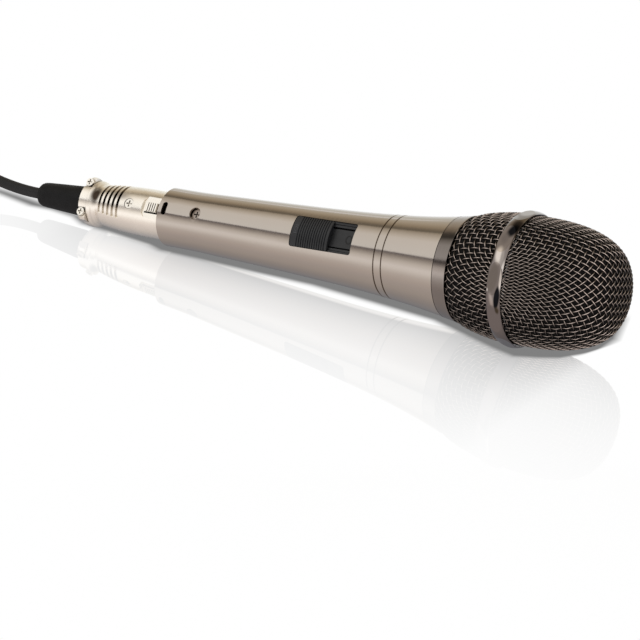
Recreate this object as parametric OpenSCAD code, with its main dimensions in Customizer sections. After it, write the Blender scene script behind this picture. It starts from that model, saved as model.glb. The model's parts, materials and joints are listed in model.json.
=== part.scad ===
// Handheld dynamic vocal microphone with slide switch, screw-on wire grille,
// dynamic cartridge, three-pin socket and a latched cable plug.
// Millimetres, +Z up, +X along the microphone toward the grille. The origin is on
// the axis at the rear end of the cylindrical tail; the switch side faces -Y and up.

/* [Handle] */
// diameter of the cylindrical tail
tail_d = 23.0; // [22.8:0.1:23.4]
// distance from the tail to the seam under the grille collar
handle_len = 125.7; // [125:0.1:127]
// diameter at the seam
seam_d = 37.8; // [37.2:0.1:38.4]
// wall thickness around the inner space
wall = 2.2; // [2.0:0.1:2.4]
// depth of the two decoration grooves
groove_depth = 0.45; // [0.2:0.05:0.6]
// turn of the switch side from straight up toward -Y
switch_roll = 54; // [0:1:90]

/* [Grille] */
// largest diameter of the faceted band
band_d = 50.04; // [49.8:0.02:50.6]
// distance across the flats of the band
band_flats = 48.6; // [48.4:0.1:49.2]
// width of the band
band_w = 5.5; // [5:0.1:6]
// radius of the front mesh where it enters the band
front_r = 23.6; // [23.3:0.1:23.7]
// height of the front mesh
front_h = 35.0; // [33:0.5:37]
// exponent that squares off the side of the front mesh
front_side_power = 3.34; // [2.6:0.02:3.6]
// exponent that flattens the top of the front mesh
front_top_power = 2.4; // [2:0.05:2.8]

/* [Switch] */
// number of grip ribs on the slider
slider_ribs = 13; // [10:1:15]

/* [Cable] */
// outer diameter of the cable
cable_d = 4.4; // [4.2:0.1:4.4]
// radius of the gentle bend behind the boot
bend_r = 95; // [85:5:140]

/* [Which sub-part] */
// name of one sub-part, or all

/* [Hidden] */

$fa = 4;
$fs = 0.25;

// colours shared by several parts
hot_red = [0.7, 0.1, 0.08];
cold_white = [0.85, 0.85, 0.82];
copper = [0.75, 0.45, 0.28];
pin_silver = [0.85, 0.83, 0.78];
plug_nickel = [0.84, 0.82, 0.78];
screw_nickel = [0.85, 0.83, 0.8];
mesh_grey = [0.35, 0.32, 0.3];
foam_black = [0.08, 0.08, 0.08];
plug_black = [0.05, 0.05, 0.05];

part_gap = 0.02; // between stacked parts and under screw heads
lead_r = 0.55;

/* ---- helpers: outlines are lists of [radius, x] turned about the X axis ---- */
function reversed(v) = [for (i = [len(v) - 1 : -1 : 0]) v[i]];

// from the switch-up frame to the switch direction
module rolled() rotate([switch_roll, 0, 0]) children();
module both_sides() for (s = [0, 1]) mirror([0, s, 0]) children();
module lathe(outline, facets = 0)
  rotate([0, 90, 0]) rotate_extrude($fn = facets) polygon(outline);
// rod along X on the axis, or at an offset [y, z]
module rod(x0, x1, r) translate([x0, 0, 0]) rotate([0, 90, 0]) cylinder(h = x1 - x0, r = r);
module rod_at(x0, x1, r, at)
  translate([x0, at[0], at[1]]) rotate([0, 90, 0]) cylinder(h = x1 - x0, r = r);
module post(x, y, z0, z1, r) translate([x, y, z0]) cylinder(h = z1 - z0, r = r);
module box(low, high) translate(low) cube(high - low);
module tube(x0, x1, inner_r, outer_r)
  lathe([[inner_r, x0], [outer_r, x0], [outer_r, x1], [inner_r, x1]]);
// cutter for a groove around X, narrower at its floor
module groove(x, floor_r, top_r, floor_half, top_half)
  lathe([[floor_r, x - floor_half], [top_r, x - top_half],
    [top_r, x + top_half], [floor_r, x + floor_half]]);

module wire_leg(from, to, r, twist) {
  span = to - from;
  length = norm(span);
  translate(from)
    rotate([0, acos(span[2] / length), atan2(span[1], span[0])])
    rotate([0, 0, twist]) cylinder(h = length, r = r);
}
// straight legs with a ball at each bend; the twists keep facets from lining up
module wire(pts, r) {
  for (i = [0 : len(pts) - 2]) wire_leg(pts[i], pts[i + 1], r, 23 + 71 * i);
  if (len(pts) > 2)
    for (i = [1 : len(pts) - 2]) translate(pts[i]) rotate([31, 47, 0]) sphere(r = r * 1.2);
}

module slot2d(length, width) {
  square([width, length - width], center = true);
  for (s = [-1, 1]) translate([0, s * (length - width) / 2]) circle(d = width);
}
module rounded2d(x0, x1, half_w, corner) {
  translate([x0 + corner, -half_w]) square([x1 - x0 - 2 * corner, 2 * half_w]);
  translate([x0, -half_w + corner]) square([x1 - x0, 2 * half_w - 2 * corner]);
  for (x = [x0 + corner, x1 - corner]) for (y = [-half_w + corner, half_w - corner])
    translate([x, y]) circle(r = corner);
}

// pan head with a cross recess, seat at z = 0, shank below
module cross_screw(head_r, head_h, recess_half, shank_r, shank_len) {
  difference() {
    cylinder(h = head_h, r = head_r);
    for (turn = [0, 90]) rotate([0, 0, turn])
      translate([-recess_half, -0.28, head_h - 0.6]) cube([2 * recess_half, 0.56, 1]);
  }
  translate([0, 0, -shank_len]) cylinder(h = shank_len + 0.05, r = shank_r);
}

/* ---- handle ---- */
tail_r = tail_d / 2;
seam_r = seam_d / 2;
taper_x = 8; // end of the cylindrical tail
ease = 0.08; // share of the taper that eases in from the cylinder
flare = 0.435 * (seam_r - tail_r); // widening by the fifth-power term
taper = (seam_r - tail_r - flare) / (1 - ease / 2);
function eased(u) = u < ease ? u * u / (2 * ease) : u - ease / 2;
function taper_share(x) = (x - taper_x) / (handle_len - taper_x);
// outer radius of the handle at a distance from the tail
function handle_r(x) = x <= taper_x ? tail_r
  : tail_r + taper * eased(taper_share(x)) + flare * pow(taper_share(x), 5);

bevel = 0.4; // behind the tail end
neck_r = 15.0;
neck_end = 133.6;
bore_r = 13.25;
socket_bore_r = 8.05;
insert_screw_x = 17;
insert_seat_z = 9.0;

module handle_shell() color([0.70, 0.66, 0.62]) rolled() difference() {
  lathe(concat([[tail_r - bevel, -bevel], [tail_r, 0]],
    [for (i = [0 : 60]) let (x = taper_x + (handle_len - taper_x) * i / 60) [handle_r(x), x]],
    [[neck_r, handle_len], [neck_r, neck_end - 0.4], [neck_r - 0.4, neck_end],
      [bore_r, neck_end], [bore_r, 100]],
    [for (i = [0 : 9]) let (x = 98 - 8 * i) [min(bore_r, handle_r(x) - wall), x]],
    [[socket_bore_r, 22.4], [socket_bore_r, -bevel]]));
  on_switch() translate([0, 0, -9]) linear_extrude(height = 12)
    rounded2d(open_x0, open_x1, open_half, open_corner);
  // slot near the tail end
  translate([2.6, 0, 7]) linear_extrude(height = 7) slot2d(5.2, 2.2);
  // counterbore and hole of the insert screw
  post(insert_screw_x, 0, insert_seat_z, 14, 2.45);
  post(insert_screw_x, 0, 7, 10, 1.35);
  // decoration grooves
  for (x = [99.6, 103.0])
    groove(x, handle_r(x) - groove_depth, handle_r(x) + 1, 0.15, 0.75);
  // grooves around the neck
  for (i = [0 : 3]) groove(127.4 + 1.4 * i, 14.55, 16, 0.1, 0.6);
}

/* ---- switch: its frame lies on the handle surface, tilted with the taper ---- */
switch_x = 75;
switch_span = 13; // half the length over which the slope is taken
slope = atan((handle_r(switch_x + switch_span) - handle_r(switch_x - switch_span))
  / (2 * switch_span));
module on_switch()
  translate([switch_x, 0, handle_r(switch_x)]) rotate([0, -slope, 0]) children();

// opening in the handle
open_x0 = -13.4;
open_x1 = 14.0;
open_half = 6.1;
open_corner = 1.0;
tray_gap = 0.1;
board_screws = [-11, 11];
board_bottom = -7.25;
reed_z = -5.0;

module switch_tray() color([0.07, 0.07, 0.075]) rolled() on_switch() difference() {
  union() {
    translate([0, 0, -5.1]) linear_extrude(height = 3.15)
      rounded2d(open_x0 + tray_gap, open_x1 - tray_gap, open_half - tray_gap,
        open_corner - tray_gap);
    box([-15.5, -7.2, -6.2], [16, 7.2, -5.0]);
  }
  // stepped channel for the slider
  box([-14, -3.5, -2.5], [14.5, 3.5, 0]);
  box([-14, -5.2, -2.15], [14.5, 5.2, 0]);
  // undercut tracks and edge steps
  both_sides() {
    box([-14, 3.5, -4.4], [14.5, 4.15, 0]);
    box([-14, 3.5, -4.4], [14.5, 4.75, -3.5]);
    box([-14, 4.95, -2.45], [14.5, 5.2, 0]);
  }
  // recess over the reed switch
  box([-8, -1.6, -7], [8, 1.6, -3.7]);
  for (x = board_screws) post(x, 0, -7, -3.6, 0.8);
}

slider_x0 = -13.2;
slider_x1 = slider_x0 + 16.5;
slider_r = 13.9; // radius of the arched top
rib_pitch = 13.3 / slider_ribs;
// one groove between ribs: [depth, share of the pitch before the 0.95 stretch]
rib_groove = [[0, 0], [0.3, 0.12], [0.3, 0.38], [0, 0.5]];
function slider_outline() = concat(
  [[5, slider_x0], [slider_r, slider_x0], [slider_r, -12.6]],
  [for (i = [0 : slider_ribs - 1]) for (q = rib_groove)
    [slider_r - q[0], -10.4 + rib_pitch * (i + q[1] / 0.95)]],
  [[slider_r, slider_x1 - 0.25], [slider_r - 0.25, slider_x1], [5, slider_x1]]);

// pocket under the slider, and the gap around the magnet in it
magnet_x0 = -8;
magnet_x1 = -3;
magnet_half = 2.5;
magnet_gap = 0.03;
pocket_top = -1.15;

module switch_slider() color([0.06, 0.06, 0.065]) rolled() on_switch() difference() {
  union() {
    intersection() {
      translate([0, 0, -slider_r]) lathe(slider_outline());
      union() {
        box([-14, -3.4, -2.4], [4, 3.4, 1]);
        box([-14, -5.1, -2.05], [4, 5.1, 1]);
        translate([0, 0, -1.85]) linear_extrude(height = 2.85)
          rounded2d(slider_x0, 3.6, 5.9, 0.95);
      }
    }
    // hooked legs in the tray tracks
    both_sides() {
      box([-12.6, 3.55, -4.3], [2.7, 4.08, -1.9]);
      box([-12.6, 3.55, -4.3], [2.7, 4.65, -3.6]);
    }
  }
  box([magnet_x0, -magnet_half, -3], [magnet_x1, magnet_half, pocket_top]);
}
module switch_magnet() color([0.6, 0.6, 0.62]) rolled() on_switch()
  box([magnet_x0 + magnet_gap, -magnet_half + magnet_gap, -2.36],
    [magnet_x1 - magnet_gap, magnet_half - magnet_gap, pocket_top - part_gap]);
module switch_board() color([0.1, 0.35, 0.2]) rolled() on_switch() difference() {
  box([-14, -5.5, board_bottom], [14, 5.5, -6.22]);
  for (x = board_screws) post(x, 0, -8, -6, 1.0);
}
module reed_switch() color([0.75, 0.85, 0.8]) rolled() on_switch() {
  translate([0, 0, reed_z]) rod(-6, 6, 1.0);
  translate([0, 0, reed_z]) rod(-7.6, 7.6, 0.3);
  for (x = [-7.3, 7.3]) post(x, 0, -6.21, -4.9, 0.25);
}
module board_screw() color([0.75, 0.74, 0.7]) rolled() on_switch() for (x = board_screws)
  translate([x, 0, board_bottom - part_gap]) mirror([0, 0, 1])
    cross_screw(1.6, 1.1, 1.0, 0.78, 3.4);
module packing_foam() color([0.15, 0.15, 0.16]) rolled() box([64, -4.8, -9.6], [86, 4.8, 3.4]);

/* ---- socket: [y, z] places of two upper pins and one at the bottom ---- */
pin_circle_r = 4.3;
pin_angle = 62;
ground_at = [-pin_circle_r * sin(pin_angle), pin_circle_r * cos(pin_angle)];
hot_at = [pin_circle_r * sin(pin_angle), pin_circle_r * cos(pin_angle)];
cold_at = [0, -pin_circle_r];
pins_at = [ground_at, hot_at, cold_at];

module xlr_insert() color([0.06, 0.06, 0.06]) rolled() difference() {
  rod(14.5, 21, 8.0);
  for (at = pins_at) rod_at(14, 22, 1.22, at);
  post(insert_screw_x, 0, 5.0, 9, 1.22);
}
// pin with a beveled tip at tip_x and a solder cup at the other end
module pin(at, tip_x) translate([0, at[0], at[1]])
  lathe([[0, tip_x], [0.7, tip_x], [1.2, tip_x + 0.6], [1.2, 25.6], [0.8, 25.6],
    [0.8, 22.6], [0, 22.6]]);
module pin_signal() color(pin_silver) rolled() {
  pin(hot_at, 2.8);
  pin(cold_at, 2.8);
}
module pin_ground() color(pin_silver) rolled() pin(ground_at, 2.2);
module insert_screw() color([0.78, 0.76, 0.72]) rolled()
  translate([insert_screw_x, 0, insert_seat_z + part_gap])
    cross_screw(2.0, 1.0, 1.25, 1.2, 3.9);

// leads between the socket, the switch board and the capsule terminals
board_z = handle_r(switch_x) - 6.7;
terminal_y = 3.0;
cup_x = 23.2;
module lead_out_hot() color(hot_red) rolled()
  wire([[cup_x, hot_at[0], hot_at[1]], [30, hot_at[0], hot_at[1]],
    [52, 3.0, 5.6], [60.3, 3.0, board_z - 0.85]], lead_r);
module lead_out_cold() color(cold_white) rolled()
  wire([[cup_x, cold_at[0], cold_at[1]], [30, 0, -4.3],
    [50, -2.5, 4.6], [60.3, -3.0, board_z - 0.85]], lead_r);
module capsule_lead(y) rolled()
  wire([[89.8, y, board_z + 0.85], [94, y, 7.0], [99.0, y, 3.4]], lead_r);
module lead_capsule_hot() color(hot_red) capsule_lead(terminal_y);
module lead_capsule_cold() color(cold_white) capsule_lead(-terminal_y);

/* ---- cartridge ---- */
chamber_r = 10;
chamber_bore = 8.8;
frame_r = 14.0;
clamp_bore = 12.6;
mount_r = 10.03;
yoke_floor_x = 132.5;
magnet_front_x = 136.5;
rim_x = 142.25; // front of the diaphragm rim
clamp_front_x = 143.3;

module shock_mount() color([0.12, 0.12, 0.12]) lathe([[mount_r, 124], [13.2, 124],
  [13.2, 133.65], [14.8, 133.65], [14.8, 136.6], [mount_r, 136.6]]);
module capsule_chamber() color([0.1, 0.1, 0.11]) lathe([[0, 102], [chamber_r, 102],
  [chamber_r, 136.9], [chamber_bore, 136.9], [chamber_bore, 103.4], [0, 103.4]]);
module terminal_plate() color([0.55, 0.4, 0.2]) rolled() {
  rod(100.6, 101.95, 7);
  for (y = [-terminal_y, terminal_y]) box([99.4, y - 0.9, 2.4], [100.7, y + 0.9, 3.6]);
}
module yoke() color([0.55, 0.55, 0.56]) lathe([[0, 131], [8.75, 131], [8.75, 139.9],
  [7.95, 139.9], [7.95, yoke_floor_x], [0, yoke_floor_x]]);
module magnet() color([0.68, 0.68, 0.7]) rod(yoke_floor_x + part_gap, magnet_front_x, 5.5);
module pole_piece() color([0.6, 0.6, 0.6]) rod(magnet_front_x + part_gap, 139.5, 6.6);
module capsule_frame() color([0.09, 0.09, 0.09]) lathe([[chamber_bore, 136.95],
  [frame_r, 136.95], [frame_r, 142.08], [clamp_bore, 142.08], [clamp_bore, 139.4],
  [chamber_bore, 139.4]]);
module voice_coil() color([0.72, 0.4, 0.2]) tube(135.6, 141.55, 6.95, 7.5);

// front face of the diaphragm: [radius, x]
diaphragm_face = [[0, 144.2], [2, 144.02], [4, 143.5], [6, 142.6], [7.2, 141.75],
  [8.2, 142.3], [10, 142.75], [11.5, 142.62], [clamp_bore, rim_x], [13.7, rim_x]];
diaphragm_t = 0.15;
module diaphragm() color([0.8, 0.75, 0.6]) lathe(concat(diaphragm_face,
  reversed([for (p = diaphragm_face) [p[0], p[1] - diaphragm_t]])));
module diaphragm_clamp() color([0.7, 0.62, 0.4])
  tube(rim_x + part_gap, clamp_front_x, clamp_bore, frame_r);
module capsule_cap() color([0.1, 0.1, 0.1]) rolled() difference() {
  lathe([[0, 145.6], [13.0, 145.6], [13.0, clamp_front_x + part_gap],
    [frame_r, clamp_front_x + part_gap], [frame_r, 146.4], [frame_r - 0.4, 146.8], [0, 146.8]]);
  for (i = [0 : 5]) rotate([60 * i, 0, 0]) rod_at(145, 148, 1.7, [0, 8]);
  rod(145, 148, 2.0);
}
module acoustic_cloth() color([0.2, 0.2, 0.22]) rod(145.2, 145.57, 12.9);

/* ---- grille ---- */
mesh_t = 0.6;
band_x = 153.55; // middle of the band
band_r = band_d / 2;
band_bore = 24.0;
dome_x = 157.5; // where the front mesh begins to curve
front_mesh_x = 153.68;

// outside of the rear mesh: [x, radius]
rear_mesh_outer = [[129.8, 19.2], [131.2, 19.22], [131.7, 19.5], [132.5, 20.1], [134, 20.85],
  [137, 21.8], [141, 22.65], [146, 23.42], [150.5, 23.86], [153.3, 23.9]];
// rounded edge of the band: [inset from the band radius, share of the half width]
band_edge = [[0.92, 1], [0.66, 0.91], [0.4, 0.74], [0.17, 0.5], [0.04, 0.24]];
// one half of the band edge; side is -1 at the rear and 1 at the front
function band_half(side) =
  [for (q = band_edge) [band_r - q[0], band_x + side * q[1] * band_w / 2]];

// superellipse of the front mesh, shrunk by inset, from the band to the tip;
// the first and last points are set exactly
function dome_point(inset, a) = [(front_r - inset) * pow(cos(a), 2 / front_side_power),
  dome_x + (front_h - inset) * pow(sin(a), 2 / front_top_power)];
function dome(inset) = concat([[front_r - inset, dome_x]],
  [for (i = [1 : 27]) dome_point(inset, 90 * pow(i / 28, 1.15))],
  [[0, dome_x + front_h - inset]]);

module grille_collar() color([0.66, 0.61, 0.58]) lathe([[15.08, handle_len + 0.06],
  [seam_r - 0.15, handle_len + 0.06], [seam_r + 0.02, handle_len + 0.25],
  [seam_r + 0.3, handle_len + 1.8], [seam_r + 0.62, handle_len + 3.6],
  [seam_r + 0.97, handle_len + 5.4], [seam_r + 0.9, 131.4], [19.4, 131.4], [19.25, 131.1],
  [19.25, 129.6], [18.5, 129.6], [18.5, 130.6], [15.08, 130.6]]);
module grille_rear_mesh() color(mesh_grey) lathe(concat(
  [for (p = rear_mesh_outer) [p[1], p[0]]],
  reversed([for (p = rear_mesh_outer) [p[1] - mesh_t, p[0]]])));
// sleeve with a thin lip between the two meshes
module rim_ring() color([0.5, 0.48, 0.46]) lathe([[21.7, 150.6], [22.85, 150.6],
  [22.85, 153.36], [23.97, 153.36], [23.97, 153.64], [22.85, 153.64], [22.85, 157.0],
  [21.7, 157.0]]);
module grille_band() color([0.42, 0.39, 0.38]) rolled() difference() {
  lathe(concat([[band_bore, band_x - band_w / 2]], band_half(-1), [[band_r, band_x]],
    reversed(band_half(1)), [[band_bore, band_x + band_w / 2]]), 360);
  for (i = [0 : 9]) rotate([18 + 36 * i, 0, 0])
    box([band_x - 5, -12, band_flats / 2], [band_x + 5, 12, 30]);
}
module grille_front_mesh() color(mesh_grey) lathe(concat([[front_r, front_mesh_x]], dome(0),
  reversed(dome(mesh_t)), [[front_r - mesh_t, front_mesh_x]]));
module foam_front() color(foam_black) lathe(concat(dome(0.75), reversed(dome(4.5))));
module foam_rear() color(foam_black) lathe(concat([[16.2, 132.2]],
  [for (x = [132.2, 134, 137, 141, 146, 148.4])
    [lookup(x, rear_mesh_outer) - mesh_t - 0.12, x]],
  [[21.5, 150.4], [16.2, 150.4]]));

/* ---- plug ---- */
flat_z = 8.45; // floor of the flat around the latch
plug_screw_x = -15.5;
plug_seat_z = 7.7;
clamp_x = -37.5;
clamp_ys = [-6.2, 6.2];
saddle_top = 6.95;

// [radius, x]: nose, barrel, waist, rear collar, then back through the bore
plug_outline = [[7.85, 12.2], [7.85, -1.0], [9.15, -1.0], [9.5, -1.35], [9.5, -12],
  [9.36, -17], [9.12, -22], [8.78, -26.5], [8.35, -30.2], [7.95, -32.0], [8.0, -32.9],
  [8.4, -33.6], [8.95, -34.1], [9.25, -34.9], [9.3, -36.6], [9.15, -38.2], [8.75, -39.2],
  [8.1, -39.6], [4.75, -39.6], [4.75, -24], [7.0, -22], [7.0, 12.2]];
module plug_shell() color([0.82, 0.8, 0.76]) rolled() difference() {
  lathe(plug_outline);
  // five short grooves across the barrel
  rotate([-13, 0, 0]) intersection() {
    for (i = [0 : 4]) tube(-21.35 - 2.25 * i, -20.2 - 2.25 * i, 8.25 - 0.14 * i, 12);
    box([-35, -12, 5.3], [-18, 12, 12]);
  }
  translate([0, 0, flat_z]) linear_extrude(height = 4)
    polygon([[-9.1, -2.4], [-7.4, -4.7], [1, -4.7], [1, 4.7], [-7.4, 4.7], [-9.1, 2.4]]);
  // windows for the latch button and the latch tooth
  box([-8.05, -2.35, 5], [-1.75, 2.05, 12]);
  box([1.3, -1.8, 5], [4.8, 1.8, 12]);
  post(plug_screw_x, 0, plug_seat_z, 12, 2.1);
  post(plug_screw_x, 0, 5, 8, 1.15);
  // seat and screw holes of the clamp saddle
  box([-42, -12, 3.0], [-35.5, 12, 12]);
  for (y = clamp_ys) post(clamp_x, y, -1.8, 4, 0.98);
}
module plug_insert() color(plug_black) rolled() difference() {
  rod(-19, 12.0, 6.95);
  rod(-20, -12.3, 5.2);
  for (at = pins_at) rod_at(-20, 13, 1.9, at);
  box([-14.0, -2.05, 5.3], [13, 2.05, 8]);
  post(plug_screw_x, 0, 3.9, 8, 0.97);
}
// sleeve with a solder cup toward the cable: [radius, x]
contact_outline = [[1.26, 11.6], [1.88, 11.6], [1.88, -5], [1.4, -5.4], [1.4, -9.5],
  [0.9, -9.5], [0.9, -6.8], [0, -6.8], [0, -2], [1.26, -2]];
module socket_contact() color([0.85, 0.82, 0.72]) rolled() for (at = pins_at)
  translate([0, at[0], at[1]]) lathe(contact_outline);
module plug_screw() color(screw_nickel) rolled()
  translate([plug_screw_x, 0, plug_seat_z + part_gap]) cross_screw(1.95, 1.35, 1.3, 0.95, 3.7);
module latch_button() color(plug_nickel) rolled() difference() {
  union() {
    box([-7.85, -1.95, 6.85], [-2.15, 1.9, 9.3]);
    box([-6.9, -1.75, 9.2], [-2.3, 1.7, 9.65]);
  }
  for (i = [0 : 3]) box([-6.3 + i, -3, 9.35], [-5.85 + i, 3, 10]);
}
module latch_leaf() color([0.7, 0.7, 0.7]) rolled() {
  box([-13.8, -1.6, 6.3], [4.2, 1.6, 6.8]);
  // tooth, drawn in x and z
  translate([0, 1.5, 0]) rotate([90, 0, 0]) linear_extrude(height = 3.0)
    polygon([[2.05, 6.7], [3.6, 6.7], [3.3, 7.7], [3.2, 9.7], [2.05, 9.7]]);
}
module clamp_saddle() color(plug_nickel) rolled() difference() {
  intersection() {
    union() {
      box([-39.5, -8.9, 3.15], [-35.6, 8.9, saddle_top]);
      intersection() {
        rod(-39.5, -35.6, 8.75);
        box([-42, -4.35, 3.15], [-35, 4.35, 9]);
      }
    }
    // rounds the outer rear edge
    lathe([[0, -42], [9.7, -42], [9.7, -39.5], [10.3, -38.9], [10.7, -37.8], [10.7, -35],
      [0, -35]]);
  }
  rod(-43, -35, 4.75);
  for (y = clamp_ys) post(clamp_x, y, 2, 9, 1.1);
}
module clamp_screw() color(screw_nickel) rolled() for (y = clamp_ys)
  translate([clamp_x, y, saddle_top + part_gap]) cross_screw(1.6, 1.1, 1.1, 0.95, 8.5);

/* ---- cable: straight from the plug toward -X, then a bend up toward +Z ---- */
cable_r = cable_d / 2;
boot_bore = cable_r + 0.04;
bend_x = -64.5;
bend_angle = asin(24 / bend_r);
tail_len = 9; // straight piece after the bend
overlap = 0.3; // of the straight pieces into the bend
swell = 0.012; // extra wall of the bend
core_y = 0.66;
core_r = 0.62;

module cable_boot() color(plug_black) lathe([[boot_bore, -27], [4.7, -27], [4.7, -40.0],
  [5.75, -40.0], [5.95, -40.3], [5.9, -45], [5.4, -54], [5.0, -60.5], [4.8, -62.2],
  [4.4, -63.2], [3.8, -63.8], [3.1, -64.1], [boot_bore, -64.1]]);

module section(outer_r, inner_r) difference() {
  circle(r = outer_r);
  if (inner_r > 0) circle(r = inner_r);
}
// a tube, or a rod when inner_r is 0, that follows the bend at a sideways offset
module strand(start_x, outer_r, inner_r = 0, y = 0) {
  inner_swell = inner_r > 0 ? swell : 0;
  translate([bend_x - overlap, y, 0]) rotate([0, 90, 0])
    linear_extrude(height = start_x - bend_x + overlap) section(outer_r, inner_r);
  translate([bend_x, 0, bend_r]) rotate([90, 0, 0]) rotate([0, 0, -90 - bend_angle])
    rotate_extrude(angle = bend_angle) translate([bend_r, -y])
      section(outer_r + swell, inner_r - inner_swell);
  translate([bend_x - bend_r * sin(bend_angle), y, bend_r * (1 - cos(bend_angle))])
    rotate([0, -90 + bend_angle, 0]) translate([0, 0, -overlap])
      linear_extrude(height = tail_len + overlap) section(outer_r, inner_r);
}
// point at x and a rolled [y, z] place
function rolled_point(x, at) = [x, at[0] * cos(switch_roll) - at[1] * sin(switch_roll),
  at[0] * sin(switch_roll) + at[1] * cos(switch_roll)];

module cable_jacket() color([0.05, 0.05, 0.055]) strand(-22.5, cable_r, 1.62);
module cable_shield() color(copper) strand(-21.5, 1.58, 1.36);
module core_hot() color(hot_red) {
  strand(-21.3, core_r, y = core_y);
  wire([rolled_point(-7.4, hot_at), rolled_point(-11.5, hot_at), [-21.5, 0.64, 0.03]], lead_r);
}
module core_cold() color(cold_white) {
  strand(-21.3, core_r, y = -core_y);
  wire([[-21.5, -core_y, 0], rolled_point(-11.5, cold_at), rolled_point(-7.4, cold_at)], lead_r);
}
module drain_wire() color(copper) wire([rolled_point(-20.9, ground_at * 0.34),
  rolled_point(-11.5, ground_at), rolled_point(-7.4, ground_at)], 0.4);

handle_shell();
switch_tray();
switch_slider();
switch_magnet();
switch_board();
reed_switch();
board_screw();
packing_foam();
xlr_insert();
pin_signal();
pin_ground();
insert_screw();
lead_out_hot();
lead_out_cold();
lead_capsule_hot();
lead_capsule_cold();
shock_mount();
capsule_chamber();
terminal_plate();
yoke();
magnet();
pole_piece();
capsule_frame();
voice_coil();
diaphragm();
diaphragm_clamp();
capsule_cap();
acoustic_cloth();
grille_collar();
grille_rear_mesh();
rim_ring();
grille_band();
grille_front_mesh();
foam_front();
foam_rear();
plug_shell();
plug_insert();
socket_contact();
plug_screw();
latch_button();
latch_leaf();
clamp_saddle();
clamp_screw();
cable_boot();
cable_jacket();
cable_shield();
core_hot();
core_cold();
drain_wire();
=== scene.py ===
"""A handheld microphone lying on a polished floor.

Its axis is X: the cable plug is at low x, the handle and its switch in the middle, the woven
grille at high x. The camera looks from the -Y side. Z is up, square to the axis.
Names ending in _MM and the geometry sections use millimetres; Blender gets metres.
"""
import json
import math
from itertools import groupby

import bpy
import numpy as np
from mathutils import Matrix, Vector


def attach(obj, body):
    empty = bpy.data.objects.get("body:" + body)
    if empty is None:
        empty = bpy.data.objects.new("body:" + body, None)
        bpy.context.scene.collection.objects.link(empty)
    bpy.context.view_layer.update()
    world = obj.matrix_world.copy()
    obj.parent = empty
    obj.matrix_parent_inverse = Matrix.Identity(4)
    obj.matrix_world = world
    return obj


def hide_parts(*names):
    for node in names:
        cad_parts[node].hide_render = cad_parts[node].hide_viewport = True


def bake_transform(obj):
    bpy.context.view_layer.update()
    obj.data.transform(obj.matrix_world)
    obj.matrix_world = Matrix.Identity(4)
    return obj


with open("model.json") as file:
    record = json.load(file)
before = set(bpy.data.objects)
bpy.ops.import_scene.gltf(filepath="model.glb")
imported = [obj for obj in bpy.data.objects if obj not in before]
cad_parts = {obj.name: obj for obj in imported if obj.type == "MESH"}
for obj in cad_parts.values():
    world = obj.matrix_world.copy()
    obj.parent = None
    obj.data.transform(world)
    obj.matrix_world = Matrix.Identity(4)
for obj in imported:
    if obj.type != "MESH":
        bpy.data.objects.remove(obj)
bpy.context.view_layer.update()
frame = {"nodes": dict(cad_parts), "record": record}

MM = 0.001
BAND_X_MM = 153.5  # middle of the dark band between the two halves of the grille
ROLL = math.radians(54)  # switch and latch, turned about the axis from +Z toward -Y
STUDIO_TURN = math.radians(18)  # the camera and the lights, turned about the axis

scene = bpy.context.scene
scene.view_settings.view_transform = "Standard"
scene.view_settings.look = "None"


# ---------------------------------------------------------------- shader graphs
def rgba(color):
    return (*color, 1.0)


def grey(level):
    return (level, level, level)


def scaled(color, factor):
    return tuple(min(1, channel * factor) for channel in color)


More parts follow.
